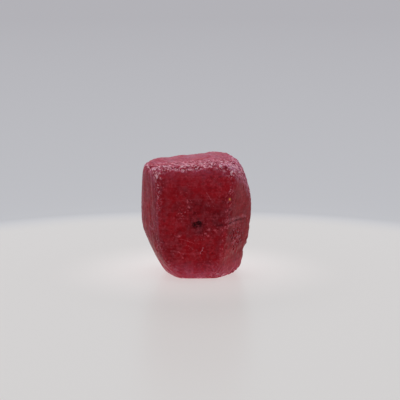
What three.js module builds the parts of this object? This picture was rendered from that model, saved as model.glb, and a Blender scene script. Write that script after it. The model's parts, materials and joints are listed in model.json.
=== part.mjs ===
// A raw ruby crystal: one short, water-worn, six-sided barrel of corundum standing on its broken base.
//
// Units are millimetres, +Z is up, and the crystal's broadest prism face looks along -Y.
// The origin is on the surface that the crystal stands on, under the middle of its bounding box.
//
// The crystal is described the way a mineralogist describes one, by its faces. Each face is the
// direction that it looks in and its distance from one centre. Where faces meet, a high power mean
// blends them, which gives the slightly rounded edges of a stone that has rolled in gravel.

import * as THREE from "three";
import { mergeVertices } from "three/addons/utils/BufferGeometryUtils.js";

// ---------------------------------------------------------------- driving dimensions

const CENTRE_HEIGHT = 6.2; // the faces' common centre, above the flat base
const EDGE_SHARPNESS = 24; // power of the blend: a higher number gives crisper edges
const GRID_STEPS = 26; // surface steps along each side of the starting cube

// Distances from the centre to the six prism faces, named by where they look from above.
const FRONT = 4.67;
const RIGHT_FRONT = 5.25;
const LEFT_FRONT = 5.58;
const RIGHT_BACK = 5.2;
const LEFT_BACK = 5.8;
const BACK = 4.9;

// The top is one basal face that falls away to the left, with a low growth terrace on its right.
const TOP = 6.3;
const TERRACE_RISE = 0.17;
const TERRACE_START = 1.1; // where its step begins, along X
const TERRACE_STEP_WIDTH = 0.6;
const TERRACE_FOOT_HEIGHT = 11.2; // below this height the terrace lifts nothing
const TERRACE_FADE_HEIGHT = 0.9;

// The lower right flank has lost a flake: under a slanting ledge the surface lies further in.
const FLAKE_SETBACK = 0.2; // on the right front prism face
const FLAKE_SIDE = 5.35; // distance of the flaked right side from the centre
const LEDGE_DISTANCE = 5.89; // distance of the ledge's underside from the centre

// ---------------------------------------------------------------- the crystal's faces

/** A face that looks `turn` degrees round from the front, towards +X, and `lift` degrees above level. */
function face(turn, lift, distance) {
  const t = THREE.MathUtils.degToRad(turn);
  const l = THREE.MathUtils.degToRad(lift);
  const normal = new THREE.Vector3(Math.sin(t) * Math.cos(l), -Math.cos(t) * Math.cos(l), Math.sin(l));
  return { normal, distance };
}

const RIGHT_FRONT_TURN = 58;
const RIGHT_FRONT_LIFT = -8;
const RIGHT_TURN = 90;

// Every face that the whole crystal and its flaked part share.
const SHARED_FACES = [
  face(0, 0, FRONT),
  face(-62, -3, LEFT_FRONT),
  face(122, 0, RIGHT_BACK),
  face(-120, 0, LEFT_BACK),
  face(180, 5, BACK),
  face(-90, 2.5, 6.0), // worn left corner of the prism
  face(150, -15, 5.6), // worn back corners of the prism
  face(-148, 12, 5.85),
  face(-90, 87.2, TOP),
  face(-85, 81.5, 7.0), // the top's left margin, which slopes more
  face(-80, 44, 8.62), // small faces that cut the top's corners
  face(85, 61, 7.23),
  face(80, 21, 6.56),
  face(180, 50, 8.12),
  face(0, -90, 6.4), // the base, which the flat below trims
  face(0, -40, 6.88), // broken slopes round the base
  face(50, -50, 7.6),
  face(-65, -38, 6.42),
  face(-82, -24, 5.77),
  face(120, -38, 6.9),
  face(180, -38, 6.4),
  face(-120, -38, 6.2),
];

const WHOLE_CRYSTAL = [
  ...SHARED_FACES,
  face(RIGHT_FRONT_TURN, RIGHT_FRONT_LIFT, RIGHT_FRONT),
  face(RIGHT_TURN, -8, 6.6),
  face(70, -50, LEDGE_DISTANCE),
];

const FLAKED_PART = [
  ...SHARED_FACES,
  face(RIGHT_FRONT_TURN, RIGHT_FRONT_LIFT, RIGHT_FRONT - FLAKE_SETBACK),
  face(RIGHT_TURN, 0, FLAKE_SIDE),
];

// ---------------------------------------------------------------- the surface

/** How far from the centre a solid with these faces reaches in one direction. */
function reach(direction, faces) {
  let sum = 0;
  for (const { normal, distance } of faces) {
    const closeness = Math.max(0, direction.dot(normal)) / distance;
    sum += closeness ** EDGE_SHARPNESS;
  }
  return sum ** (-1 / EDGE_SHARPNESS);
}

/** The crystal's surface point in one direction from its centre, with the base at height 0. */
function surfacePoint(direction) {
  const distance = Math.max(reach(direction, WHOLE_CRYSTAL), reach(direction, FLAKED_PART));
  const point = direction.clone().multiplyScalar(distance);
  point.z += CENTRE_HEIGHT;

  const acrossStep = THREE.MathUtils.smoothstep(point.x, TERRACE_START, TERRACE_START + TERRACE_STEP_WIDTH);
  const upTop = THREE.MathUtils.clamp((point.z - TERRACE_FOOT_HEIGHT) / TERRACE_FADE_HEIGHT, 0, 1);
  point.z += TERRACE_RISE * acrossStep * upTop;

  point.z = Math.max(point.z, 0); // the flat base
  return point;
}

/** A closed, evenly divided cube's surface, pushed out to the crystal's. */
function crystalGeometry() {
  const cube = new THREE.BoxGeometry(2, 2, 2, GRID_STEPS, GRID_STEPS, GRID_STEPS);
  cube.deleteAttribute("normal");
  cube.deleteAttribute("uv");
  const geometry = mergeVertices(cube);

  const position = geometry.getAttribute("position");
  const direction = new THREE.Vector3();
  const widen = (value) => Math.tan((value * Math.PI) / 4); // evens out the steps seen from the centre
  for (let i = 0; i < position.count; i += 1) {
    direction.fromBufferAttribute(position, i);
    direction.set(widen(direction.x), widen(direction.y), widen(direction.z)).normalize();
    const point = surfacePoint(direction);
    position.setXYZ(i, point.x, point.y, point.z);
  }

  geometry.computeBoundingBox();
  const middle = geometry.boundingBox.getCenter(new THREE.Vector3());
  geometry.translate(-middle.x, -middle.y, 0);
  geometry.computeVertexNormals();
  return geometry;
}

// ---------------------------------------------------------------- the object

const rubyMaterial = new THREE.MeshStandardMaterial({
  color: new THREE.Color().setRGB(0.42, 0.1, 0.12, THREE.SRGBColorSpace),
  roughness: 0.45,
  metalness: 0,
});

const crystal = new THREE.Mesh(crystalGeometry(), rubyMaterial);
crystal.name = "ruby_crystal";

const object = new THREE.Group();
object.add(crystal);

export default object;
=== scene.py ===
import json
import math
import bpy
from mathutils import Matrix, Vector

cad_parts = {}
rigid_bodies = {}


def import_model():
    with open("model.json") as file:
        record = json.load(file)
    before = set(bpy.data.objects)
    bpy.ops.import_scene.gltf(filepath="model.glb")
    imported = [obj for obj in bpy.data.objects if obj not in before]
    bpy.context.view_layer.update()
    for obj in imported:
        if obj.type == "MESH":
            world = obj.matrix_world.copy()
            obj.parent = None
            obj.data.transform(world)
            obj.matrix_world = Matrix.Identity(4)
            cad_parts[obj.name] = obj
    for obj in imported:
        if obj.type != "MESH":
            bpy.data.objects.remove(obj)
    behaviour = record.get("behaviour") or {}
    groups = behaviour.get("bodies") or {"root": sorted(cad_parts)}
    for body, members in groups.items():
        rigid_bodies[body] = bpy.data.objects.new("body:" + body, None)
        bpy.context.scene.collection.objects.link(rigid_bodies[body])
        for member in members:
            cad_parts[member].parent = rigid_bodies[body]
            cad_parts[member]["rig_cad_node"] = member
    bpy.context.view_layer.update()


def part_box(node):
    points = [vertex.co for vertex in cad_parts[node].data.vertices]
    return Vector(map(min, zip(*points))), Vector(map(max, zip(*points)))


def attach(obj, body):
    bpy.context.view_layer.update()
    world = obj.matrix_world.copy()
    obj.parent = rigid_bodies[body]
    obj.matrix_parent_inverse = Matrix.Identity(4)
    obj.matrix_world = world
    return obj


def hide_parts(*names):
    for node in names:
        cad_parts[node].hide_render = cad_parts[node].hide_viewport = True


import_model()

# A raw ruby crystal on a pale studio floor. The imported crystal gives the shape; this script grows a
# finer skin on it, weathers that skin the way gravel weathers corundum, and gives it its colour.
#
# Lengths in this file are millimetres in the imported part's own frame, unless a name says otherwise.
# Many values are pairs, such as (2.6, 0.4): where an effect begins and where it is full.

from types import SimpleNamespace

import bpy
import numpy as np
from mathutils import Vector, noise
from mathutils.bvhtree import BVHTree
from mathutils.kdtree import KDTree

MM = 0.001  # one millimetre in Blender's metres
NODE = "ruby_crystal"
LOW, HIGH = (np.array(corner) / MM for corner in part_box(NODE))
SIZE = HIGH - LOW
MIDDLE = (LOW + HIGH) / 2
RANDOM_SEED = 11

# ------------------------------------------------------------------ where the marks are
# Places on the crystal, as X, Y and Z from the middle of the surface that it stands on. Each, apart
# from the bruise's middle, is moved to the nearest point of the skin before it is used.

FRONT_Y = LOW[1]  # the broad prism face that looks along -Y
BACK_Y = HIGH[1]

CRACKS = [
    [(2.3, FRONT_Y, 6.1), (2.75, FRONT_Y, 6.16), (3.2, -4.74, 6.18),
     (3.8, -4.1, 6.29), (4.3, -3.3, 6.35), (4.75, -2.55, 6.34), (5.2, -1.8, 6.3)],
    [(-3.4, BACK_Y, 8.8), (-1.9, BACK_Y, 7.9), (-0.6, BACK_Y, 7.75),
     (0.8, BACK_Y, 6.6), (1.5, BACK_Y, 6.3)],
]
CRACK_DEPTH = 0.045
CRACK_SIDES = (0.14, 0.02)
CRACK_RAGGEDNESS = 0.03
CRACK_LIPS = [  # pale lines above and below the front crack
    [(3.15, -4.8, 6.5), (3.5, -4.5, 6.56), (3.85, -4.1, 6.68), (4.25, -3.5, 6.65), (5.3, -1.7, 6.45)],
    [(3.45, -4.45, 6.0), (3.85, -4.0, 6.12), (4.45, -3.0, 6.1)],
]
SCRATCHES = [
    [(0.76, FRONT_Y, 3.66), (0.44, FRONT_Y, 3.21), (0.49, FRONT_Y, 3.03)],
    [(-2.6, BACK_Y, 4.2), (-1.7, BACK_Y, 3.7)],
]
HAIRLINES = [  # scratches so fine that they hardly show
    [(-1.05, FRONT_Y, 3.95), (-0.5, FRONT_Y, 3.69), (-0.33, FRONT_Y, 3.5)],
    [(-1.6, FRONT_Y, 4.62), (-0.9, FRONT_Y, 4.42), (-0.25, FRONT_Y, 4.14)],
    [(-2.4, FRONT_Y, 5.0), (-1.7, FRONT_Y, 4.83)],
    [(-2.7, FRONT_Y, 3.35), (-1.9, FRONT_Y, 3.2), (-1.4, FRONT_Y, 2.98)],
    [(1.1, FRONT_Y, 9.6), (1.5, FRONT_Y, 8.9)],
    [(1.3, BACK_Y, 9.9), (1.7, BACK_Y, 9.1)],
    [(-0.4, BACK_Y, 5.6), (0.9, BACK_Y, 5.2)],
]
FLECK_TRAILS = [  # where the pale flecks of small bruises crowd together
    [(0.85, FRONT_Y, 5.25), (1.5, FRONT_Y, 5.7), (2.6, FRONT_Y, 5.85)],
    [(-0.8, FRONT_Y, 8.7), (-1.0, FRONT_Y, 7.8), (-1.7, FRONT_Y, 7.3)],
    [(3.5, -4.8, 8.3), (3.1, -4.8, 7.1), (3.3, -4.8, 6.0),
     (3.1, -4.8, 4.6), (2.9, -4.8, 3.4), (3.3, -4.5, 2.3)],
    [(-1.2, BACK_Y, 9.6), (-0.2, BACK_Y, 8.9), (1.4, BACK_Y, 8.4)],
    [(-3.0, BACK_Y, 5.4), (-2.2, BACK_Y, 4.9)],
    [(-4.3, -4.4, 9.6), (-4.3, -4.3, 7.6), (-4.4, -4.0, 5.6), (-4.0, -3.9, 4.0), (-3.4, -3.9, 2.8)],
    [(0.75, FRONT_Y, 4.3), (0.8, FRONT_Y, 3.7)],
]
TRAIL_WIDTH = 0.7
PECKS = [  # single pale flecks, each the mark of one knock
    (1.97, FRONT_Y, 5.6), (1.35, FRONT_Y, 5.67), (1.03, FRONT_Y, 5.2), (1.3, FRONT_Y, 4.93),
    (-1.62, FRONT_Y, 7.33), (-0.92, FRONT_Y, 8.6), (-0.83, FRONT_Y, 8.12), (-1.77, FRONT_Y, 4.95),
    (-1.47, FRONT_Y, 2.58), (3.36, -4.5, 2.27), (5.0, -2.4, 8.2),
    (0.6, BACK_Y, 7.2), (1.9, BACK_Y, 5.0), (-2.2, BACK_Y, 9.3), (4.9, 3.0, 4.2),
]
PECK_RADIUS = 0.17
PITS = [(0.3, FRONT_Y, 6.38), (-0.06, FRONT_Y, 6.06)]
PIT_RADIUS = 0.3
PIT_DEPTH = 0.18
PIT_SIDES = (PIT_RADIUS * 1.2, 0.05)
PIT_RAGGEDNESS = 0.06
CHIPS = [  # shell-shaped flakes knocked off the back: place, radius of the shell and depth
    ((-3.4, 4.0, 11.6), 2.6, 0.3),
    ((3.6, 3.9, 9.9), 2.0, 0.2),
    ((-4.9, 2.2, 3.4), 3.0, 0.25),
    ((1.6, 4.6, 2.2), 2.4, 0.25),
]
OCHRE_GRAIN = (3.54, -4.8, 8.9)
OCHRE_RADIUS = 0.14
OCHRE_HEIGHT = 0.04
OCHRE_SIDES = (1.3 * OCHRE_RADIUS, 0.3 * OCHRE_RADIUS)
BRUISE = (4.3, -2.8, 4.6)  # a rough, pitted patch on the right front face
BRUISE_FADE = (1.6, 0.5)
BRUISE_STRETCH = (1.0, 0.8, 0.8)  # distances along Y and Z count for less, so it is longer that way
RUBBED_SPOTS = [(-4.5, -3.2, 5.3), (-3.9, -3.9, 3.9)]  # pale, on the left front edge
RUBBED_FADE = (1.3, 0.1)
PALE_CORNER = (3.5, -3.5, 12.1)  # where the top, the front and the right front face meet, made paler as a painted glint
PALE_CORNER_FADE = (1.7, 0.2)
FROSTED_CORNER = (-4.4, -4.1, 11.5)  # where the top, the front and the left front face meet
FROSTED_CORNER_FADE = (1.2, 0.3)

# Painted inner light in the stone's colour: clouds painted brighter than the rest, or darker, as painted
# shade, where the strength is negative: place, radius and strength.
PAINTED_GLOW_CLOUDS = [
    ((2.2, FRONT_Y, 10.4), 1.3, 0.7),
    ((-0.6, FRONT_Y, 11.5), 1.6, 0.5),
    ((-2.6, FRONT_Y, 6.2), 1.3, 0.4),
    ((-0.5, FRONT_Y, 3.4), 1.7, 0.6),
    ((3.8, -3.6, 2.6), 1.4, 0.6),
    ((0.5, FRONT_Y, 6.0), 1.3, -0.6),
    ((0.3, FRONT_Y, 8.2), 1.2, -0.35),
    ((2.4, FRONT_Y, 7.6), 1.3, -0.45),
    ((2.0, BACK_Y, 9.0), 1.8, 0.3),
    ((-1.5, BACK_Y, 3.5), 2.0, 0.3),
]

# ------------------------------------------------------------------ the crystal's skin

SKIN_STEPS = (132, 108, 142)  # surface steps along X, Y and Z, which come to 193,344 triangles
RELAX_ROUNDS = 5
SMOOTH_PASSES = 6
ROUNDING_PASSES = 5
BASE_MARGIN = 0.25  # the relief fades out over this height above the flat base
FAR = 3.0  # a mark further off than this makes no difference
LINE_STEP = 0.25  # between the places where a line is laid on the skin
FRACTAL_FALLOFF = 1.0  # the exponent by which the finer octaves of a wobble weaken
FRACTAL_STEP = 2.0  # how many times finer each octave is than the one before
SEED_SHIFT = Vector((3.1, 7.7, 5.3))  # takes each seed to a part of the noise of its own


def ease(values, begins, full):
    """0 up to where it begins, 1 from where it is full, and smooth between. Either may be the higher."""
    t = np.clip((values - begins) / (full - begins), 0, 1)
    return t * t * (3 - 2 * t)


def wobble(points, size, octaves, seed):
    """Natural unevenness between about -1 and 1, with its broadest swell about size across."""
    shift = SEED_SHIFT * seed
    return np.array([
        noise.fractal(Vector(p) / size + shift, FRACTAL_FALLOFF, FRACTAL_STEP, octaves) for p in points
    ])


def box_surface(steps):
    """Corners (0 to 1 along each axis) and four-cornered faces of a box's surface, evenly divided."""
    index, faces = {}, []
    for axis in range(3):
        u, v = (axis + 1) % 3, (axis + 2) % 3
        for end in (0, steps[axis]):
            for a in range(steps[u]):
                for b in range(steps[v]):
                    face = []
                    for du, dv in ((0, 0), (1, 0), (1, 1), (0, 1)):
                        place = [0, 0, 0]
                        place[axis], place[u], place[v] = end, a + du, b + dv
                        face.append(index.setdefault(tuple(place), len(index)))
                    faces.append(face if end else face[::-1])
    return np.array(list(index)) / np.array(steps), np.array(faces)


class Skin:
    """A closed surface of four-cornered faces, as arrays."""

    def __init__(self, points, faces):
        self.points, self.faces = points, faces
        sides = np.concatenate([faces[:, [i, (i + 1) % 4]] for i in range(4)])
        self.ends = np.unique(np.sort(sides, axis=1), axis=0)
        self.neighbours = np.bincount(self.ends.ravel(), minlength=len(points))

    def blur(self, values, passes):
        """Each value is replaced by the mean of it and its neighbours' mean, again and again."""
        a, b = self.ends.T
        for _ in range(passes):
            columns = np.atleast_2d(values.T)
            sums = [np.bincount(a, c[b], len(c)) + np.bincount(b, c[a], len(c)) for c in columns]
            mean = (np.array(sums) / self.neighbours).T.reshape(values.shape)
            values = (values + mean) / 2
        return values

    def normals(self):
        """Unit outward normals at the points."""
        corners = self.points[self.faces]
        areas = np.cross(corners[:, 2] - corners[:, 0], corners[:, 3] - corners[:, 1])
        total = np.zeros_like(self.points)
        for corner in range(4):
            for axis in range(3):
                total[:, axis] += np.bincount(self.faces[:, corner], areas[:, axis], len(total))
        return total / np.linalg.norm(total, axis=1)[:, None]

    def off_base(self):
        """0 on the flat that the crystal stands on, rising to 1 a little above it."""
        return ease(self.points[:, 2], 0.0, BASE_MARGIN)

    def raise_by(self, height):
        """Moves each point along its normal. The flat base stays where it is."""
        self.points = self.points + self.normals() * (height * self.off_base())[:, None]

    def roughen(self, height, size, octaves, seed, where=1.0, stretch=(1, 1, 1)):
        """Raises and sinks the skin unevenly, as much as where allows."""
        self.raise_by(height * wobble(self.points * stretch, size, octaves, seed) * where)

    def tree(self):
        """The points, ready to be searched by place."""
        tree = KDTree(len(self.points))
        for i, point in enumerate(self.points):
            tree.insert(point, i)
        tree.balance()
        return tree


def grown_skin(node):
    """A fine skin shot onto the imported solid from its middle, evened out and slightly rounded."""
    shape = BVHTree.FromObject(node, bpy.context.evaluated_depsgraph_get())
    fractions, faces = box_surface(SKIN_STEPS)
    points = []
    for target in LOW + fractions * SIZE:
        hit = shape.ray_cast(Vector(MIDDLE) * MM, Vector(target - MIDDLE).normalized())
        points.append(np.array(hit[0]) / MM)
    skin = Skin(np.array(points), faces)
    for _ in range(RELAX_ROUNDS):
        relaxed = skin.blur(skin.points, SMOOTH_PASSES)
        skin.points = np.array([np.array(shape.find_nearest(Vector(p) * MM)[0]) / MM for p in relaxed])
    skin.points = skin.blur(skin.points, ROUNDING_PASSES)
    return skin


def distance_to_line(points, line):
    """Distance of each point to a line through the given places."""
    nearest = np.full(len(points), FAR)
    for start, end in zip(line[:-1], line[1:]):
        start, along = np.array(start), np.array(end) - np.array(start)
        t = np.clip((points - start) @ along / (along @ along), 0, 1)
        nearest = np.minimum(nearest, np.linalg.norm(points - start - t[:, None] * along, axis=1))
    return nearest


def on_skin(skin, tree, line):
    """A line's places, closer together and each moved to the nearest point of the skin."""
    places = []
    for start, end in zip(np.array(line[:-1]), np.array(line[1:])):
        pieces = max(1, round(np.linalg.norm(end - start) / LINE_STEP))
        places += [start + (end - start) * i / pieces for i in range(pieces)]
    places.append(np.array(line[-1]))
    return [skin.points[tree.find(place)[1]] for place in places]


def distance_to_lines(skin, lines):
    """Distance of each skin point to the nearest of some lines drawn on the skin."""
    tree = skin.tree()
    return np.min([distance_to_line(skin.points, on_skin(skin, tree, line)) for line in lines], axis=0)


def distance_to_spots(skin, spots):
    """Distance of each skin point to the nearest of some places on the skin."""
    tree = skin.tree()
    found = [skin.points[tree.find(spot)[1]] for spot in spots]
    return np.minimum(FAR, np.min([np.linalg.norm(skin.points - spot, axis=1) for spot in found], axis=0))


# ------------------------------------------------------------------ the crystal's parts
# Where each part of the crystal begins and where it is full. A face is told by how much of its
# outward normal points one way, and a height is measured from the base.

TOP_UPWARD = (0.35, 0.8)
BASAL_UPWARD = (0.8, 0.95)
UNDER_DOWNWARD = (0.35, 0.7)
PRISM_UPWARD = (0.5, 0.2)
FLANK_SIDEWAYS = (0.5, 0.85)
BACK_BACKWARD = (0.2, 0.8)
SKY_UPWARD = (0.1, 0.9)
FOOT_HEIGHT = (2.6, 0.4)

# Faces told by direction, in degrees: its turn from the front towards +X, its lift above level, and
# how far off it the skin still wholly belongs and no longer belongs.
LEFT_FACE = {"turn": -75, "lift": 0, "narrow": 22, "wide": 37}
SHOULDER = {"turn": 75, "lift": 42, "narrow": 14, "wide": 42}
SHOULDER_RAGGEDNESS = 12  # degrees

EDGE_PASSES = 60  # how wide a bend counts as an edge
EDGE_STAND = (0.006, 0.06)  # how far the edge stands proud of its smoothed surroundings
EDGE_UNEVENNESS = 0.012
EDGE_SOFTENING = 14  # passes
RIM_Y = (1.0, -3.0)  # the top is worn more and more towards its front rim
RIM_RAGGEDNESS = 0.9
FRAYED_SHARE = 0.5  # of the rim's full wear, in patches over the rest of the top
FRAYED_LEVELS = (-0.1, 0.4)


def looking(normals, turn, lift, narrow, wide, ragged=0.0):
    """1 where the skin looks within narrow degrees of a direction, fading to 0 at wide degrees."""
    turn, lift = math.radians(turn), math.radians(lift)
    direction = (math.sin(turn) * math.cos(lift), -math.cos(turn) * math.cos(lift), math.sin(lift))
    angle = np.degrees(np.arccos(np.clip(normals @ direction, -1, 1)))
    return ease(angle + ragged, wide, narrow)


def crystal_parts(skin):
    """How much each point belongs to each part of the crystal, before the weather gets at it."""
    normals = skin.normals()
    patchy = wobble(skin.points, size=1.5, octaves=3, seed=12)
    stand = np.einsum("ij,ij->i", skin.points - skin.blur(skin.points, EDGE_PASSES), normals)
    top = ease(normals[:, 2], *TOP_UPWARD)
    frayed = FRAYED_SHARE * ease(wobble(skin.points, size=1.1, octaves=3, seed=16), *FRAYED_LEVELS)
    rim = np.maximum(ease(skin.points[:, 1] + RIM_RAGGEDNESS * patchy, *RIM_Y), frayed)
    off_bruise = np.linalg.norm((skin.points - BRUISE) * BRUISE_STRETCH, axis=1)
    return SimpleNamespace(
        height=skin.points[:, 2].copy(),
        patchy=patchy,
        edge=skin.blur(ease(stand + EDGE_UNEVENNESS * patchy, *EDGE_STAND), EDGE_SOFTENING),
        top=top,
        rim=top * rim,
        left=looking(normals, **LEFT_FACE),
        shoulder=looking(normals, **SHOULDER, ragged=SHOULDER_RAGGEDNESS * patchy),
        flank=ease(np.abs(normals[:, 0]), *FLANK_SIDEWAYS),
        back=ease(normals[:, 1], *BACK_BACKWARD),
        prism=ease(np.abs(normals[:, 2]), *PRISM_UPWARD),
        foot=ease(skin.points[:, 2], *FOOT_HEIGHT),
        under=ease(-normals[:, 2], *UNDER_DOWNWARD),
        bruise=ease(off_bruise, *BRUISE_FADE),
    )


# ------------------------------------------------------------------ wear, bloom, painted sheen and painted inner light

SPOT_RAGGEDNESS = 0.3  # of the outlines of the rubbed spots and the pale corner
FROSTED_CORNER_RAGGEDNESS = 0.4

# How worn each part is, where 1 is rubbed white.
EDGE_WEAR = 0.32
HIGH_EDGE_WEAR = 0.55  # added to that, on edges high up
HIGH_EDGE_HEIGHT = (6.0, 11.0)
RIM_WEAR = 0.9
SHOULDER_WEAR = 0.85
FOOT_EDGE_WEAR = 0.3
BESIDE_EDGE_WEAR = 0.2
BESIDE_EDGE_PASSES = 130  # how far an edge's wear spreads thinly over the faces beside it
RUBBED_WEAR = 0.5
WEAR_EVENNESS = 0.85
WEAR_PATCHINESS = 0.4
LEFT_WEAR_LOSS = 0.2  # the share of its wear that doesn't show on the left face
FROSTED_CORNER_WEAR = 0.3

# How milky each part is made: the bloom of etched and worn faces, and painted sheen in the sky, foot,
# left and upper shares, where faces catch or reflect the light.
# painted sheen: upward faces made milkier where they catch the overhead light
SKY_SHEEN = 0.255
# painted reflection of the pale floor, on the foot
FOOT_SHEEN = 0.17
EDGE_BLOOM = 0.03
SHOULDER_BLOOM = 0.2
# painted reflection on the left face
LEFT_SHEEN = 0.06
LEFT_SHEEN_HEIGHT = (2.6, 5.4)
UPPER_SHEEN = 0.04  # painted sheen on the prism faces, high up
UPPER_SHEEN_HEIGHT = (9.0, 12.0)
RIM_BLOOM = 0.12  # on the prism faces, just under the top
RIM_BLOOM_HEIGHT = (10.9, 12.3)
RIM_BLOOM_RAGGEDNESS = 0.6
LEFT_BLOOM_LOSS = 0.6  # the share of the upper painted sheen and the rim bloom that the left face goes without
PALE_CORNER_GLINT = 0.14
FROSTED_CORNER_BLOOM = 0.03
CLEAR_OF_PITS = (0.3, 0.9)  # there is neither bloom nor painted sheen round the pits

# How much painted inner light brightens the red: brighter high up and at the foot, with painted shade on
# the flanks and the back.
MEAN_GLOW = 0.5
GLOW_UNEVENNESS = 0.25
UPPER_GLOW = 0.3
UPPER_GLOW_HEIGHT = (10.6, 11.8)
FOOT_GLOW = 0.5
FLANK_GLOOM = 0.3
BACK_GLOOM = 0.3


def wear_on(skin, part):
    """How worn each point is, from 0 to 1."""
    off_spots = distance_to_spots(skin, RUBBED_SPOTS) + SPOT_RAGGEDNESS * part.patchy
    wear = part.edge * (EDGE_WEAR + HIGH_EDGE_WEAR * ease(part.height, *HIGH_EDGE_HEIGHT))
    wear += RIM_WEAR * part.rim
    wear += SHOULDER_WEAR * part.shoulder
    wear += FOOT_EDGE_WEAR * part.foot * part.edge
    wear += BESIDE_EDGE_WEAR * skin.blur(part.edge, BESIDE_EDGE_PASSES) * (1 - part.top)
    wear += RUBBED_WEAR * ease(off_spots, *RUBBED_FADE)
    return np.clip(wear * (WEAR_EVENNESS + WEAR_PATCHINESS * part.patchy), 0, 1)


def bloom_and_sheen_on(skin, part, frosted, off_pits):
    """How milky each point is made, from 0 to 1: frosting of etched and worn faces, with painted sheen
    where faces catch or reflect the light.
    """
    off_corner = distance_to_spots(skin, [PALE_CORNER]) + SPOT_RAGGEDNESS * part.patchy
    under_rim = ease(part.height + RIM_BLOOM_RAGGEDNESS * part.patchy, *RIM_BLOOM_HEIGHT)
    upper = UPPER_SHEEN * ease(part.height, *UPPER_SHEEN_HEIGHT) + RIM_BLOOM * under_rim
    milkiness = SKY_SHEEN * ease(skin.normals()[:, 2], *SKY_UPWARD)
    milkiness += FOOT_SHEEN * part.foot
    milkiness += EDGE_BLOOM * part.edge
    milkiness += SHOULDER_BLOOM * part.shoulder
    milkiness += LEFT_SHEEN * part.left * ease(part.height, *LEFT_SHEEN_HEIGHT)
    milkiness += part.prism * (1 - LEFT_BLOOM_LOSS * part.left) * upper
    # painted glint at the pale corner
    milkiness += PALE_CORNER_GLINT * ease(off_corner, *PALE_CORNER_FADE)
    milkiness += FROSTED_CORNER_BLOOM * frosted
    return np.clip(milkiness * ease(off_pits, *CLEAR_OF_PITS), 0, 1)


def painted_glow_in(skin, part):
    """Painted inner light at each point, from 0 to 1: brighter clouds, top and foot, and painted shade on
    the flanks and the back.
    """
    glow = MEAN_GLOW + GLOW_UNEVENNESS * wobble(skin.points, size=3.2, octaves=2, seed=10)
    for place, radius, strength in PAINTED_GLOW_CLOUDS:
        glow += strength * np.exp(-((distance_to_spots(skin, [place]) / radius) ** 2))
    glow += UPPER_GLOW * ease(part.height, *UPPER_GLOW_HEIGHT)
    glow += FOOT_GLOW * part.foot
    glow -= FLANK_GLOOM * part.flank * (1 - part.foot)
    glow -= BACK_GLOOM * part.back
    return np.clip(glow, 0, 1)


# ------------------------------------------------------------------ relief

# Stretches: how much closer together a pattern is along X, Y and Z. Under 1 draws it out.
LEVEL_STRIAE = (0.2, 0.2, 3.0)
UPRIGHT_STRIAE = (4.0, 4.0, 0.35)
TERRACE_STRETCH = (1, 1, 0.3)

TERRACES = 5  # steps for each 1 that the wobble under them rises
TERRACE_RISER = (0.0, 0.35)  # where, on its way from one terrace to the next, the skin climbs
TERRACE_HEIGHT = 0.03

TRIANGLE_COUNT = 34  # of three-sided growth marks on the top
TRIANGLE_TURN = 35  # degrees
TRIANGLE_SIZES = (0.15, 0.7)  # least and most, from a triangle's middle to its sides
TRIANGLE_DEPTHS = (-0.035, 0.06)  # least and most, below the face; above it where negative
TRIANGLE_BEVEL = 0.1

CHIP_RAGGEDNESS = 0.07
CHIP_LEVEL_PASSES = 40  # evens out the skin's direction at a chip
CHIP_MARK = (0.0, 0.08)  # how much the chip has taken off, for ripples to show there
RIPPLE_SPACING = 0.55  # of the faint arcs inside a chip
RIPPLE_HEIGHT = 0.006
RIPPLE_RAGGEDNESS = 0.15
BLOW = (0.5, 0, 0.6)  # from a chip's middle to where the blow fell, in radii of its shell
SCOOP_SEARCH = 1.6  # how far round a scoop the skin is searched, in half widths of its mouth
SCOOP_LOWEST = 0.05  # nothing is scooped out below this height, so the base stays flat

# Knocks: how many, then the least and most of their radius and of their depth.
EDGE_KNOCKS = (300, (0.4, 1.5), (0.015, 0.07))
WEAR_KNOCKS = (700, (0.25, 0.8), (0.025, 0.06))
FACE_KNOCKS = (160, (0.3, 0.9), (0.006, 0.02))
BRUISE_KNOCKS = (130, (0.12, 0.35), (0.02, 0.06))
BASE_KNOCKS = (110, (0.6, 2.0), (0.02, 0.08))
KNOCK_FOCUS = 1.5  # a higher power keeps knocks nearer the sharpest edges
SELDOM, HARDLY_EVER = 1e-6, 1e-9  # the chance of a knock where there is no reason for one
ANYWHERE = 0.2  # the same for the shallow knocks that faces get

WORN_ROUGHNESS = 0.06
GRIT = 0.006  # everywhere
WORN_GRIT = 0.015  # added to that, where the crystal is worn
PROUD = 0.05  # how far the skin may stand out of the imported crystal's box


def triangles(skin, draw):
    """Three-sided growth marks on the basal face, all turned the same way, some sunk and some raised."""
    basal = ease(skin.normals()[:, 2], *BASAL_UPWARD)
    for _ in range(TRIANGLE_COUNT):
        centre = draw.uniform(LOW[:2], HIGH[:2])
        size, depth = draw.uniform(*TRIANGLE_SIZES), draw.uniform(*TRIANGLE_DEPTHS)
        outside = np.full(len(basal), -FAR)
        for side in range(3):
            turn = math.radians(TRIANGLE_TURN + 120 * side)
            way = (math.cos(turn), math.sin(turn))
            outside = np.maximum(outside, (skin.points[:, :2] - centre) @ way)
        skin.raise_by(-depth * ease(outside, size, size - TRIANGLE_BEVEL) * basal)


def growth(skin, part, draw):
    """What growth left: broad swells, steps and triangles on the top, and striations."""
    skin.roughen(height=0.05, size=4.0, octaves=3, seed=1)
    skin.roughen(height=0.012, size=0.9, octaves=3, seed=2)
    terraces = wobble(skin.points * TERRACE_STRETCH, size=3.5, octaves=2, seed=3) * TERRACES
    risers = np.floor(terraces) + ease(terraces % 1, *TERRACE_RISER)
    skin.raise_by(TERRACE_HEIGHT * risers * part.top)
    triangles(skin, draw)
    skin.roughen(height=0.012, size=0.9, octaves=3, seed=4, where=part.prism, stretch=LEVEL_STRIAE)
    skin.roughen(height=0.03, size=1.6, octaves=2, seed=5, where=part.left, stretch=UPRIGHT_STRIAE)


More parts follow.
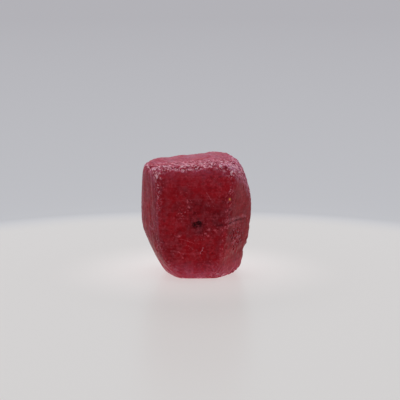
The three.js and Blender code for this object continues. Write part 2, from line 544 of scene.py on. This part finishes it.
def scoop(skin, tree, centre, outward, radius, depth, ragged=0.0):
    """Takes a shallow bowl, such as a knock leaves, out of the skin."""
    ball = centre + outward * (radius - depth)
    reach = SCOOP_SEARCH * math.sqrt(2 * radius * depth) + depth
    near = np.array([found[1] for found in tree.find_range(centre, reach)])
    spokes = skin.points[near] - ball
    lengths = np.linalg.norm(spokes, axis=1)
    wall = radius + ragged * wobble(skin.points[near], size=0.9, octaves=3, seed=14)
    inside = (lengths < wall) & (spokes @ outward < 0) & (skin.points[near][:, 2] > SCOOP_LOWEST)
    skin.points[near[inside]] = ball + spokes[inside] * (wall / lengths)[inside, None]


def scoops(skin, draw, likely, count, radii, depths):
    """Scatters scoops where they are likely."""
    tree = skin.tree()
    normals = skin.normals()
    chosen = draw.choice(len(likely), count, replace=False, p=likely / likely.sum())
    for i in chosen:
        scoop(skin, tree, skin.points[i], normals[i], draw.uniform(*radii), draw.uniform(*depths))


def chip(skin, place, radius, depth):
    """Takes a shell-shaped flake off the skin and leaves faint arcs in it, round where the blow fell."""
    tree = skin.tree()
    i = tree.find(place)[1]
    centre, outward = skin.points[i].copy(), skin.blur(skin.normals(), CHIP_LEVEL_PASSES)[i]
    before = skin.points.copy()
    scoop(skin, tree, centre, outward / np.linalg.norm(outward), radius, depth, CHIP_RAGGEDNESS)
    taken = ease(np.linalg.norm(skin.points - before, axis=1), *CHIP_MARK)
    blow = centre + np.array(BLOW) * radius
    away = np.linalg.norm(skin.points - blow, axis=1)
    away += RIPPLE_RAGGEDNESS * wobble(skin.points, size=1.2, octaves=2, seed=15)
    skin.raise_by(RIPPLE_HEIGHT * np.sin(away * 2 * math.pi / RIPPLE_SPACING) * taken)


def knocks(skin, part, wear, draw):
    """Chips, and smaller knocks: many along the edges, fewer on the faces, crowded on bruise and base."""
    for flake in CHIPS:
        chip(skin, *flake)
    scoops(skin, draw, part.edge ** KNOCK_FOCUS + SELDOM, *EDGE_KNOCKS)
    scoops(skin, draw, wear ** KNOCK_FOCUS + SELDOM, *WEAR_KNOCKS)
    scoops(skin, draw, ANYWHERE + part.top + part.prism, *FACE_KNOCKS)
    scoops(skin, draw, part.bruise + HARDLY_EVER, *BRUISE_KNOCKS)
    scoops(skin, draw, part.under * skin.off_base() + HARDLY_EVER, *BASE_KNOCKS)


def marks(skin, part, wear):
    """Pits, cracks, the ochre grain and rough skin. Returns each point's distance from the pits."""
    ragged = wobble(skin.points, size=0.25, octaves=2, seed=6)
    off_pits = distance_to_spots(skin, PITS) + PIT_RAGGEDNESS * ragged
    skin.raise_by(-PIT_DEPTH * ease(off_pits, *PIT_SIDES))
    ragged = wobble(skin.points, size=0.3, octaves=2, seed=7)
    off_cracks = distance_to_lines(skin, CRACKS) + CRACK_RAGGEDNESS * ragged
    skin.raise_by(-CRACK_DEPTH * ease(off_cracks, *CRACK_SIDES))
    skin.roughen(height=0.03, size=0.35, octaves=3, seed=8, where=part.bruise)
    skin.raise_by(OCHRE_HEIGHT * ease(distance_to_spots(skin, [OCHRE_GRAIN]), *OCHRE_SIDES))
    skin.roughen(height=WORN_ROUGHNESS, size=0.42, octaves=3, seed=13, where=wear)
    skin.roughen(height=GRIT + WORN_GRIT * wear, size=0.24, octaves=2, seed=9)
    return off_pits


def weathered(skin):
    """Gives the skin its relief, and returns the measures that the material needs."""
    draw = np.random.default_rng(RANDOM_SEED)
    part = crystal_parts(skin)
    wear = wear_on(skin, part)
    growth(skin, part, draw)
    knocks(skin, part, wear, draw)
    off_pits = marks(skin, part, wear)
    skin.points = np.clip(skin.points, LOW - (PROUD, PROUD, 0), HIGH + PROUD)

    off_corner = distance_to_spots(skin, [FROSTED_CORNER]) + FROSTED_CORNER_RAGGEDNESS * part.patchy
    frosted = ease(off_corner, *FROSTED_CORNER_FADE)
    shown_wear = wear * (1 - LEFT_WEAR_LOSS * part.left) + FROSTED_CORNER_WEAR * frosted
    measures = {
        "milk_and_sheen": bloom_and_sheen_on(skin, part, frosted, off_pits),
        "wear": np.clip(shown_wear, 0, 1),
        "glow": painted_glow_in(skin, part),
        "top": part.top,
        "left": part.left,
        "bruise": part.bruise,
    }
    lines = {
        "crack": CRACKS, "crack_lip": CRACK_LIPS, "scratch": SCRATCHES,
        "hairline": HAIRLINES, "trail": FLECK_TRAILS,
    }
    spots = {"pit": PITS, "peck": PECKS, "ochre": [OCHRE_GRAIN]}
    measures.update((name, distance_to_lines(skin, places)) for name, places in lines.items())
    measures.update((name, distance_to_spots(skin, places)) for name, places in spots.items())
    return measures


def crystal_piece(skin, measures, material):
    """The skin as a Blender mesh object, with its measures as attributes."""
    mesh = bpy.data.meshes.new("raw_ruby")
    mesh.from_pydata((skin.points * MM).tolist(), [], skin.faces.tolist())
    mesh.shade_smooth()
    for name, values in measures.items():
        attribute = mesh.attributes.new(name, "FLOAT", "POINT")
        attribute.data.foreach_set("value", values.astype(np.float32))
    mesh.materials.append(material)
    piece = bpy.data.objects.new("raw_ruby", mesh)
    bpy.context.collection.objects.link(piece)
    return piece


# ------------------------------------------------------------------ material tools

SPECK_SIZES = (0.6, 1.3)  # the smallest and largest speck, in shares of the stated radius
SPECK_CORE = 0.45  # the share of its own radius inside which a speck is full


class Nodes:
    """Short ways to add the nodes that the materials use. An input is a number, a vector or a socket."""

    def __init__(self, tree):
        self.tree = tree

    def add(self, kind, inputs, **settings):
        node = self.tree.nodes.new(kind)
        for name, value in settings.items():
            setattr(node, name, value)
        for name, value in inputs.items():
            if isinstance(value, bpy.types.NodeSocket):
                self.tree.links.new(value, node.inputs[name])
            else:
                node.inputs[name].default_value = value
        return node

    def math(self, operation, a, b):
        return self.add("ShaderNodeMath", {0: a, 1: b}, operation=operation).outputs[0]

    def combined(self, operation, values):
        result = values[0]
        for value in values[1:]:
            result = self.math(operation, result, value)
        return result

    def total(self, *values):
        return self.combined("ADD", values)

    def product(self, *values):
        return self.combined("MULTIPLY", values)

    def most(self, *values):
        return self.combined("MAXIMUM", values)

    def centred(self, value):
        """A noise, whose values lie round 0.5, moved to lie round 0."""
        return self.math("SUBTRACT", value, 0.5)

    def vector(self, operation, a, b):
        return self.add("ShaderNodeVectorMath", {0: a, 1: b}, operation=operation)

    def stretch(self, coords, factors):
        return self.vector("MULTIPLY", coords, factors).outputs["Vector"]

    def length(self, coords):
        return self.vector("LENGTH", coords, (0, 0, 0)).outputs["Value"]

    def millimetres(self):
        """Places in the part's own frame, in millimetres."""
        coords = self.add("ShaderNodeTexCoord", {}).outputs["Object"]
        return self.stretch(coords, (1 / MM, 1 / MM, 1 / MM))

    def noise(self, coords, scale, detail=2.0, output="Fac"):
        inputs = {"Vector": coords, "Scale": scale, "Detail": detail}
        return self.add("ShaderNodeTexNoise", inputs).outputs[output]

    def bent(self, coords, amount, scale):
        """Coordinates pushed about, so that what is drawn in them looks grown and not drawn."""
        push = self.noise(coords, scale, detail=1.0, output="Color")
        push = self.vector("SUBTRACT", push, (0.5, 0.5, 0.5)).outputs["Vector"]
        push = self.stretch(push, (amount, amount, amount))
        return self.vector("ADD", coords, push).outputs["Vector"]

    def ease(self, value, begins, full, low=0.0, high=1.0):
        """Low up to where it begins, high from where it is full, and smooth between."""
        inputs = {"Value": value, "From Min": begins, "From Max": full, "To Min": low, "To Max": high}
        node = self.add("ShaderNodeMapRange", inputs, interpolation_type="SMOOTHSTEP")
        return node.outputs["Result"]

    def slope(self, value, begins, full):
        """0 up to where it begins, 1 from where it is full, and straight between."""
        inputs = {"Value": value, "From Min": begins, "From Max": full}
        return self.add("ShaderNodeMapRange", inputs).outputs["Result"]

    def between(self, share, low, high):
        """Low where the share is 0, high where it is 1, and smooth between."""
        return self.ease(share, 0.0, 1.0, low, high)

    def specks(self, coords, spacing, radius, share):
        """Specks of uneven size, 1 inside and 0 outside. A share of the places has one."""
        cells = self.add("ShaderNodeTexVoronoi", {"Vector": coords, "Scale": 1 / spacing})
        chance = self.add("ShaderNodeSeparateColor", {"Color": cells.outputs["Color"]})
        sizes = [share_of_radius * radius / spacing for share_of_radius in SPECK_SIZES]
        size = self.between(chance.outputs["Green"], *sizes)
        inside = self.ease(cells.outputs["Distance"], size, self.math("MULTIPLY", size, SPECK_CORE))
        return self.product(inside, self.math("LESS_THAN", chance.outputs["Red"], share))

    def mix(self, share, a, b):
        node = self.add("ShaderNodeMix", {"Factor": share, "A": a, "B": b}, data_type="RGBA")
        return node.outputs[2]

    def mix_number(self, share, a, b):
        return self.add("ShaderNodeMix", {"Factor": share, "A": a, "B": b}).outputs[0]

    def measure(self, name):
        return self.add("ShaderNodeAttribute", {}, attribute_name=name).outputs["Fac"]


def new_material(name):
    """A material holding one Principled shader; returns it, its shader and its nodes."""
    material = bpy.data.materials.new(name)
    material.use_nodes = True
    shader = material.node_tree.nodes["Principled BSDF"]
    return material, shader, Nodes(material.node_tree)


# ------------------------------------------------------------------ the ruby
# "Levels" are the values of a noise, round 0.5, between which its pattern comes in. A "share" is how
# much of a layer's own colour it lays over what is below. In the functions, n holds the material's
# nodes, and p the patterns that several layers share.

DEEP_RED = (0.2, 0.004, 0.009, 1)
LIVELY_RED = (0.42, 0.0045, 0.011, 1)
WINE = (0.19, 0.009, 0.02, 1)
PIT_INCLUSION_AND_SHADE = (0.006, 0.0008, 0.001, 1)
DRIED_BLOOD = (0.07, 0.002, 0.004, 1)
LIGHT_RED = (1.0, 0.18, 0.24, 1)
FLECK_PINK = (1.0, 0.23, 0.29, 1)
ROSE = (0.85, 0.33, 0.42, 1)
BLOOM_AND_SHEEN_PINK = (0.72, 0.25, 0.43, 1)
GRAIN_AND_GLINT_PINK = (0.98, 0.6, 0.68, 1)
OCHRE = (1.0, 0.46, 0.12, 1)
OCHRE_SHADE = (0.66, 0.26, 0.055, 1)

# Stretches: how much closer together a pattern is along X, Y and Z.
LEVEL_LINES = (0.3, 0.3, 3.2)
UPRIGHT_STREAKS = (3.4, 3.4, 0.25)
TALLER = (1.0, 1.0, 0.7)
BATTERED = (1.25, 1.25, 0.55)

EVEN_LEVELS = (0.35, 0.65)  # nearly the whole swing of a noise
MOTTLE_CONTRAST = 1.5
BLUSH_LEVELS, BLUSH_SHARE = (0.38, 0.7), 0.06
FROST_PATCH_LEVELS, FROST_LEAST = (0.38, 0.62), 0.35
LIGHT_FROST_LEVELS, LIGHT_FROST_SHARE = (0.5, 0.74), 0.2
DARK_FROST_LEVELS, DARK_FROST_SHARE = (0.49, 0.28), 0.5
STRIAE_LEVELS, STRIAE_SHARE = (0.54, 0.7), 0.07
STREAK_LEVELS, STREAK_CONTRAST = (0.4, 0.62), 2.1
VEIL_SWING = (0.7, 1.3)  # how much the veil thins and thickens

PORE_LEVELS, PORE_SHARE = (0.48, 0.34), 0.85
PORES_OFF_TOP, PORES_ON_TOP = 0.45, 1.0
PORE_TOP = (0.0, 0.7)
GRAIN_LEVELS = (0.5, 0.64)
GRAIN_WEAR = (0.0, 0.7)
SCATTER_WEAR, SCATTER_SHARE = (0.02, 0.4), 0.8
WORN_FADE, WORN_SHARES = (0.1, 0.9), (0.2, 0.95)
WHITENING_WEAR = (0.5, 0.9)

TRAIL_SHARE, LOOSE_SHARE, TINY_SHARE = 0.4, 0.3, 0.2
TRAIL_CORE = 0.1
BRIGHT_LEVELS, DARK_LEVELS = (0.4, 0.65), (0.6, 0.4)  # of the mottle that loose and tiny flecks keep to
BRUISE_PALE_LEVELS, BRUISE_PALE_SHARE = (0.53, 0.63), 0.32
BRUISE_DARK_LEVELS, BRUISE_DARK_SHARE = (0.43, 0.34), 0.9

# Marks: distance from one where its colour begins and where it is full, and how ragged that is.
PECK_SHAPE, PECK_SHARE = ((PECK_RADIUS, 0.02), 0.45), 0.42
LIP_SHAPE, LIP_SHARE = ((0.22, 0.0), 0.6), 0.24
LIP_SWAY = 0.7
LIP_FROST_LEVELS, LIP_LEAST = (0.42, 0.6), 0.3
SCRATCH_SHAPE, SCRATCH_SHARES = ((0.065, 0.015), 0.2), (0.5, 0.75)
HAIRLINE_SHAPE, HAIRLINE_SHARES = ((0.06, 0.01), 0.2), (0.15, 0.45)
CRACK_SHAPE, CRACK_SHARES = ((0.12, 0.02), 0.45), (0.5, 0.12)
PIT_SHAPE, PIT_SHARE = ((0.52, 0.0), 1.0), 0.9
OCHRE_SHAPE = ((OCHRE_RADIUS * 1.25, OCHRE_RADIUS * 0.6), 0.2)
OCHRE_LEVELS = (0.4, 0.6)
BREAK_LEVELS = (0.42, 0.58)  # where thin lines come and go

SMOOTH, DULL, WORN_DULLNESS = 0.3, 0.46, 0.16  # roughness
RUBY_FINISH = {
    "IOR": 1.77,
    "Specular IOR Level": 0.045,
    "Specular Tint": (1.0, 0.6, 0.72, 1),
    "Subsurface Weight": 0.35,
    "Subsurface Radius": (1.0, 0.12, 0.15),
    "Subsurface Scale": 0.9 * MM,
}
BUMP_HEIGHT = 0.035
FRESH_BUMP, WORN_GRAIN_BUMP, WORN_GRIT_BUMP = 0.15, 1.5, 0.5  # strengths
STRIAE_BUMP = 0.3
TOP_ROUGHNESS = 0.6  # how rough the top is where it isn't worn


def mark_mask(n, p, name, shape, *pushes):
    """1 on a mark and 0 off it. Pushes, in millimetres, shift its outline about."""
    reach, raggedness = shape
    distance = n.total(n.measure(name), n.product(p.jitter, raggedness), *pushes)
    return n.ease(distance, *reach)


def ruby_patterns(n):
    """The measures, noises and masks that more than one layer of the ruby draws on."""
    p = SimpleNamespace()
    p.wear, p.left, p.top, p.bruise = (n.measure(name) for name in ("wear", "left", "top", "bruise"))
    p.coords = n.millimetres()
    p.bent = n.bent(p.coords, amount=0.22, scale=3.5)
    p.ragged = n.bent(p.bent, amount=0.16, scale=9.0)
    p.mottle = n.noise(p.coords, scale=1.5, detail=4.0)
    p.frost = n.noise(p.bent, scale=4.6, detail=4.0)
    p.grain = n.noise(p.bent, scale=4.0, detail=5.0)
    p.striae = n.noise(n.stretch(p.bent, LEVEL_LINES), scale=1.6)
    p.jitter = n.centred(n.noise(p.coords, scale=6.0))
    p.crack = mark_mask(n, p, "crack", CRACK_SHAPE)
    p.pit = mark_mask(n, p, "pit", PIT_SHAPE)
    return p


def body_colour(n, p):
    """Deep red, painted brighter where the glow measure paints inner light, and a faint pink blush."""
    glow = n.total(n.measure("glow"), n.product(n.centred(p.mottle), MOTTLE_CONTRAST))
    colour = n.mix(glow, DEEP_RED, LIVELY_RED)
    blush = n.noise(n.stretch(p.bent, TALLER), scale=1.8, detail=4.0)
    return n.mix(n.ease(blush, *BLUSH_LEVELS, 0.0, BLUSH_SHARE), colour, ROSE)


def frosting(n, p, colour):
    """Fine frosting all over, more in some patches than in others, with level lines."""
    patches = n.ease(n.noise(p.coords, scale=0.55), *FROST_PATCH_LEVELS, FROST_LEAST, 1.0)
    light = n.product(n.ease(p.frost, *LIGHT_FROST_LEVELS), patches, LIGHT_FROST_SHARE)
    dark = n.product(n.ease(p.frost, *DARK_FROST_LEVELS), patches, DARK_FROST_SHARE)
    colour = n.mix(light, colour, LIGHT_RED)
    colour = n.mix(dark, colour, DRIED_BLOOD)
    return n.mix(n.ease(p.striae, *STRIAE_LEVELS, 0.0, STRIAE_SHARE), colour, LIGHT_RED)


def bloom_and_sheen_layer(n, p, colour):
    """The milky frosting of etched and worn faces, with painted sheen, in grains, with upright streaks on
    the left.
    """
    streaks = n.noise(n.stretch(p.coords, UPRIGHT_STREAKS), scale=1.0, detail=3.0)
    streaks = n.ease(streaks, *STREAK_LEVELS, 0.0, STREAK_CONTRAST)
    clouds = n.ease(n.noise(p.bent, scale=0.9, detail=3.0), *EVEN_LEVELS, *VEIL_SWING)
    uneven = n.product(n.ease(p.grain, *EVEN_LEVELS, *VEIL_SWING), clouds)
    milk_and_sheen = n.product(n.measure("milk_and_sheen"), uneven, n.mix_number(p.left, 1.0, streaks))
    return n.mix(milk_and_sheen, colour, BLOOM_AND_SHEEN_PINK)


def wear_and_glint_layer(n, p, colour):
    """Pale grains where the crystal is worn, partly frosted wear and partly painted glints where the worn
    rim and edges catch the light, with darker pores between them.
    """
    pores_here = n.product(p.wear, n.ease(p.top, *PORE_TOP, PORES_OFF_TOP, PORES_ON_TOP))
    pores = n.product(n.ease(p.grain, *PORE_LEVELS), n.most(pores_here, p.bruise), PORE_SHARE)
    colour = n.mix(pores, colour, WINE)
    grains = n.product(n.ease(p.grain, *GRAIN_LEVELS), n.ease(p.wear, *GRAIN_WEAR))
    scatter = n.specks(p.ragged, spacing=0.22, radius=0.08, share=0.55)
    scatter = n.product(scatter, n.ease(p.wear, *SCATTER_WEAR), SCATTER_SHARE)
    # worn holds the pale grains: partly frosted wear, partly painted glints
    worn = n.product(n.most(grains, scatter), n.ease(p.wear, *WORN_FADE, *WORN_SHARES))
    return n.mix(worn, colour, n.mix(n.ease(p.wear, *WHITENING_WEAR), ROSE, GRAIN_AND_GLINT_PINK))


def flecks(n, p, colour):
    """Flecks: crowded along the trails, loose and tiny over the faces, and battered in the bruise."""
    along = n.specks(n.stretch(p.ragged, TALLER), spacing=0.25, radius=0.105, share=0.6)
    along = n.product(along, n.ease(n.measure("trail"), TRAIL_WIDTH, TRAIL_CORE), TRAIL_SHARE)
    loose = n.specks(p.ragged, spacing=0.55, radius=0.13, share=0.35)
    loose = n.product(loose, n.ease(p.mottle, *BRIGHT_LEVELS), LOOSE_SHARE)
    tiny = n.specks(p.ragged, spacing=0.27, radius=0.08, share=0.4)
    tiny = n.product(tiny, n.ease(p.mottle, *DARK_LEVELS), TINY_SHARE)
    colour = n.mix(n.most(along, loose, tiny), colour, FLECK_PINK)

    battered = n.noise(n.stretch(p.bent, BATTERED), scale=4.4, detail=4.0)
    pale = n.product(n.ease(battered, *BRUISE_PALE_LEVELS), p.bruise, BRUISE_PALE_SHARE)
    dark = n.product(n.ease(battered, *BRUISE_DARK_LEVELS), p.bruise, BRUISE_DARK_SHARE)
    return n.mix(dark, n.mix(pale, colour, ROSE), DRIED_BLOOD)


def drawn_marks(n, p, colour):
    """Pecks, the crack's pale lips, scratches, cracks darkened with painted shade, pits painted
    near-black partly as shade, and one grain of ochre.
    """
    peck = mark_mask(n, p, "peck", PECK_SHAPE)
    colour = n.mix(n.product(peck, PECK_SHARE), colour, FLECK_PINK)

    sway = n.product(n.centred(n.noise(p.coords, scale=1.6)), LIP_SWAY)
    lip = mark_mask(n, p, "crack_lip", LIP_SHAPE, sway)
    frosty = n.ease(p.frost, *LIP_FROST_LEVELS, LIP_LEAST, 1.0)
    colour = n.mix(n.product(lip, frosty, LIP_SHARE), colour, ROSE)

    broken = n.ease(n.noise(p.coords, scale=3.0), *BREAK_LEVELS)
    scratch = mark_mask(n, p, "scratch", SCRATCH_SHAPE)
    colour = n.mix(n.product(scratch, n.between(broken, *SCRATCH_SHARES)), colour, ROSE)
    hairline = mark_mask(n, p, "hairline", HAIRLINE_SHAPE)
    colour = n.mix(n.product(hairline, n.between(broken, *HAIRLINE_SHARES)), colour, FLECK_PINK)
    # painted shade: the cracks' grooves are darkened
    colour = n.mix(n.product(p.crack, n.between(broken, *CRACK_SHARES)), colour, DRIED_BLOOD)
    # the pits are painted near-black: partly a dark inclusion, partly painted shade in the hollow
    colour = n.mix(n.product(p.pit, PIT_SHARE), colour, PIT_INCLUSION_AND_SHADE)

    ochre = n.mix(n.ease(n.noise(p.coords, scale=9.0), *OCHRE_LEVELS), OCHRE_SHADE, OCHRE)
    return n.mix(mark_mask(n, p, "ochre", OCHRE_SHAPE), colour, ochre)


def fine_relief(n, p):
    """Bump: grains where it is worn, a finer grit everywhere, striae, and sunken cracks and pits."""
    rough = n.most(p.wear, n.product(p.top, TOP_ROUGHNESS))
    grit = n.noise(p.coords, scale=11.0, detail=4.0)
    grains = n.product(p.grain, n.between(rough, FRESH_BUMP, WORN_GRAIN_BUMP))
    height = n.total(grains, n.product(grit, n.between(rough, FRESH_BUMP, WORN_GRIT_BUMP)))
    height = n.total(height, n.product(n.most(p.crack, p.pit), -1.0), n.product(p.striae, STRIAE_BUMP))
    bump = {"Height": height, "Strength": 1.0, "Distance": BUMP_HEIGHT * MM}
    return n.add("ShaderNodeBump", bump).outputs["Normal"]


def ruby_material():
    material, shader, n = new_material("ruby")
    p = ruby_patterns(n)
    colour = body_colour(n, p)
    for layer in (frosting, bloom_and_sheen_layer, wear_and_glint_layer, flecks, drawn_marks):
        colour = layer(n, p, colour)
    polish = n.ease(n.noise(p.coords, scale=1.7, detail=4.0), *EVEN_LEVELS, SMOOTH, DULL)
    roughness = n.total(polish, n.product(p.wear, WORN_DULLNESS))
    sockets = {"Base Color": colour, "Roughness": roughness, "Normal": fine_relief(n, p)}
    for socket, value in sockets.items():
        n.tree.links.new(value, shader.inputs[socket])
    for socket, value in RUBY_FINISH.items():
        shader.inputs[socket].default_value = value
    return material


# ------------------------------------------------------------------ the studio

NEAR_FLOOR = (0.36, 0.352, 0.345, 1)  # the pale floor's own colour
FLOOR_PAINTED_PINK_LIGHT = (0.36, 0.346, 0.344, 1)  # the same close to the crystal, tinted with painted pink light from the crystal
FLOOR_GLOW = (0.355, 0.349, 0.341, 1)  # what the pale floor gives off
FLOOR_PAINTED_LIGHT_POOL = (0.525, 0.5, 0.492, 1)  # the same close to the crystal, brighter: a painted pool of light that lifts the crystal's shadow
BLACK = (0, 0, 0, 1)
AIR = (0.45, 0.445, 0.475, 1)  # the light tent, and the floor far off
AIR_BEHIND = (0.53, 0.535, 0.565, 1)  # the floor just past its pale part
TENT_OPENING = (0.12, 0.12, 0.13, 1)
OPENING_Y = (-0.25, -0.9)  # how much a direction points along Y, and along Z
OPENING_Z = (0.1, 0.3)

FLOOR_SIZE = 4000.0
FLOOR_SHIFT = (0.0, 12.0, 0.0)  # takes the pale floor's middle out in front of the crystal
FLOOR_EDGE = (40.0, 48.0)  # from that middle, where the floor gives way to the backdrop's colour
PINK_LIGHT_REACH = (9.0, 3.0)  # from the middle of the crystal's base, as the next two are
LIGHT_POOL_REACH = (17.0, 1.0)
BACKDROP_FADE = (40.0, 500.0)
BACKDROP_CURVE = 0.5
FLOOR_ROUGHNESS = 0.3
FLOOR_GLOSS = 0.12

SUN_SPREAD = 70  # degrees
SUN_STRENGTH = 1.25
SUN_TILT = (-25, -8)  # degrees about X and Y

CAMERA_PITCH = 10.3  # degrees below level
CAMERA_PLACE = (0.4, -155.5, 36.2)
LENS = 130.5
SENSOR_WIDTH = 36
CLIP_START = 5


def floor_material():
    """Pale and faintly glowing, with painted pink light and a brighter painted pool of light near the
    crystal, and the backdrop's grey far off.
    """
    material, shader, n = new_material("studio_floor")
    coords = n.millimetres()
    away = n.length(coords)
    far = n.ease(n.length(n.vector("ADD", coords, FLOOR_SHIFT).outputs["Vector"]), *FLOOR_EDGE)
    # painted light close to the crystal: a pink tint, and a brighter glow that lifts its shadow
    near = n.mix(n.ease(away, *PINK_LIGHT_REACH), NEAR_FLOOR, FLOOR_PAINTED_PINK_LIGHT)
    glow = n.mix(n.ease(away, *LIGHT_POOL_REACH), FLOOR_GLOW, FLOOR_PAINTED_LIGHT_POOL)
    distance = n.math("POWER", n.slope(away, *BACKDROP_FADE), BACKDROP_CURVE)
    sockets = {
        "Base Color": n.mix(far, near, BLACK),
        "Emission Color": n.mix(far, glow, n.mix(distance, AIR_BEHIND, AIR)),
        "Specular IOR Level": n.product(n.math("SUBTRACT", 1.0, far), FLOOR_GLOSS),
    }
    for socket, value in sockets.items():
        n.tree.links.new(value, shader.inputs[socket])
    shader.inputs["Emission Strength"].default_value = 1.0
    shader.inputs["Roughness"].default_value = FLOOR_ROUGHNESS
    return material


def air():
    """A light tent: even grey all round, with a darker opening high up on the broad face's side."""
    world = bpy.data.worlds.new("studio_air")
    world.use_nodes = True
    n = Nodes(world.node_tree)
    direction = n.add("ShaderNodeTexCoord", {}).outputs["Generated"]
    axes = n.add("ShaderNodeSeparateXYZ", {"Vector": direction}).outputs
    opening = n.product(n.ease(axes["Y"], *OPENING_Y), n.ease(axes["Z"], *OPENING_Z))
    background = world.node_tree.nodes["Background"]
    n.tree.links.new(n.mix(opening, AIR, TENT_OPENING), background.inputs["Color"])
    bpy.context.scene.world = world


def floor():
    """A floor so wide that it stands for the backdrop too."""
    bpy.ops.mesh.primitive_plane_add(size=FLOOR_SIZE * MM)
    plane = bpy.context.object
    plane.name = "studio_floor"
    plane.data.materials.append(floor_material())


def overhead_light():
    light = bpy.data.lights.new("soft_overhead", "SUN")
    light.angle = math.radians(SUN_SPREAD)
    light.energy = SUN_STRENGTH
    overhead = bpy.data.objects.new("soft_overhead", light)
    overhead.rotation_euler = (math.radians(SUN_TILT[0]), math.radians(SUN_TILT[1]), 0)
    bpy.context.collection.objects.link(overhead)


def camera():
    data = bpy.data.cameras.new("camera")
    data.lens = LENS
    data.sensor_width = SENSOR_WIDTH
    data.clip_start = CLIP_START * MM
    eye = bpy.data.objects.new("camera", data)
    eye.location = Vector(CAMERA_PLACE) * MM
    eye.rotation_euler = (math.radians(90 - CAMERA_PITCH), 0, 0)
    bpy.context.collection.objects.link(eye)
    bpy.context.scene.camera = eye
    bpy.context.scene.view_settings.view_transform = "Standard"


# ------------------------------------------------------------------ build it

node_object = next(o for o in bpy.data.objects if o.get("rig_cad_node") == NODE)
skin = grown_skin(node_object)
measures = weathered(skin)
raw_ruby = crystal_piece(skin, measures, ruby_material())
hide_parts(NODE)
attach(raw_ruby, "root")
floor()
air()
overhead_light()
camera()
